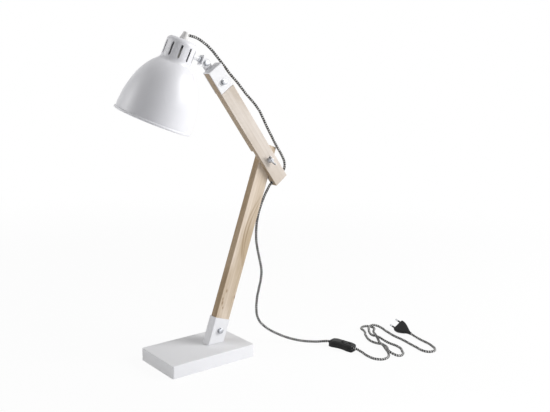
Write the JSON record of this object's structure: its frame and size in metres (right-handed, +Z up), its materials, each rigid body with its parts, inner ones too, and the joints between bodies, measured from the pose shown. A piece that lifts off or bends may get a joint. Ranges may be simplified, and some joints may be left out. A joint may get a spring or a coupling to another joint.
{
  "type": "desk lamp",
  "caption": "Desk lamp: weighted base, fixed wooden lower arm, swing upper arm on a wing nut, tilting bell shade, braided cord with rocker switch and flat plug.",
  "frame": {"origin": "centre of the base's underside, on the surface that the lamp stands on", "axes": "+X right along the base's long side, towards the elbow; +Y away from the front; +Z up"},
  "size_m": [0.6442, 0.3765, 0.6716],
  "materials": {
    "white_paint": "satin white powder coat",
    "shade_paint": "gloss white enamel on spun aluminium",
    "cast_weight": "rough cast cement",
    "soft_pad": "matt foam",
    "wood": "pale limed pine, matt",
    "nickel": "nickel plated",
    "brass": "plain",
    "white_plastic": "semi-matt",
    "porcelain": "glazed",
    "bulb_glass": "opal",
    "braid": "black and white zigzag braid",
    "black_plastic": "fine-textured, slight sheen"
  },
  "bodies": {
    "stand": {"base_bolt": "nickel", "base_bolt_nut": "nickel", "base_bolt_washer": "nickel", "base_bracket": "white_paint", "base_cover": "white_paint", "base_pad": "soft_pad", "base_weight": "cast_weight", "bracket_screw_1": "nickel", "bracket_screw_2": "nickel", "cord_down": "braid", "cord_floor": "braid", "elbow_bolt": "nickel", "elbow_washer": "nickel", "lower_arm": "wood", "plug_body": "black_plastic", "plug_pin_1": "nickel", "plug_pin_2": "nickel", "switch_base": "black_plastic", "switch_contacts": "brass", "switch_cover": "black_plastic", "switch_screw": "nickel"},
    "wing_nut": {"wing_nut": "nickel"},
    "upper_arm": {"upper_arm": "wood", "head_bracket": "white_paint", "head_bolt": "nickel", "head_bolt_washer": "nickel", "head_bolt_nut": "nickel", "tilt_bolt": "nickel", "tilt_bolt_washer": "nickel", "tilt_bolt_nut": "nickel", "cord_head_b": "braid"},
    "head_link": {"tilt_bracket": "white_paint", "swivel_bolt": "nickel", "swivel_washer": "nickel", "swivel_jam_nut": "nickel", "swivel_inner_nut": "nickel"},
    "head": {"shade_stem": "white_paint", "shade": "shade_paint", "cap": "shade_paint", "cord_grip": "white_plastic", "threaded_tube": "nickel", "tube_nut": "nickel", "lampholder_body": "porcelain", "lampholder_ring": "porcelain", "lampholder_sleeve": "brass", "lampholder_contact": "brass", "bulb_cap": "nickel", "bulb_glass": "bulb_glass", "cord_head_a": "braid"},
    "rocker": {"switch_rocker": "black_plastic"}
  },
  "joints": [
    {"name": "elbow", "type": "hinge", "parent": "stand", "child": "upper_arm", "pos_m": [0.16966, 0, 0.41322], "axis": [0, -1, 0], "range_deg": [-2, 45], "deforming": ["cord_down"]},
    {"name": "wing_nut_turn", "type": "hinge", "parent": "stand", "child": "wing_nut", "pos_m": [0.16966, 0, 0.41322], "axis": [0, -1, 0], "continuous": true},
    {"name": "head_tilt", "type": "hinge", "parent": "upper_arm", "child": "head_link", "pos_m": [0.01975, 0, 0.61329], "axis": [0, -1, 0], "range_deg": [-45, 40], "deforming": ["cord_head_b"]},
    {"name": "head_swivel", "type": "hinge", "parent": "head_link", "child": "head", "pos_m": [0.01975, -0.0115, 0.61329], "axis": [0.9478, 0, -0.319], "range_deg": [-30, 30], "deforming": ["cord_head_a"]},
    {"name": "switch_rocker", "type": "hinge", "parent": "stand", "child": "rocker", "pos_m": [0.28438, -0.15044, 0.012], "axis": [-0.9774, -0.2113, 0], "range_deg": [0, 16]}
  ]
}
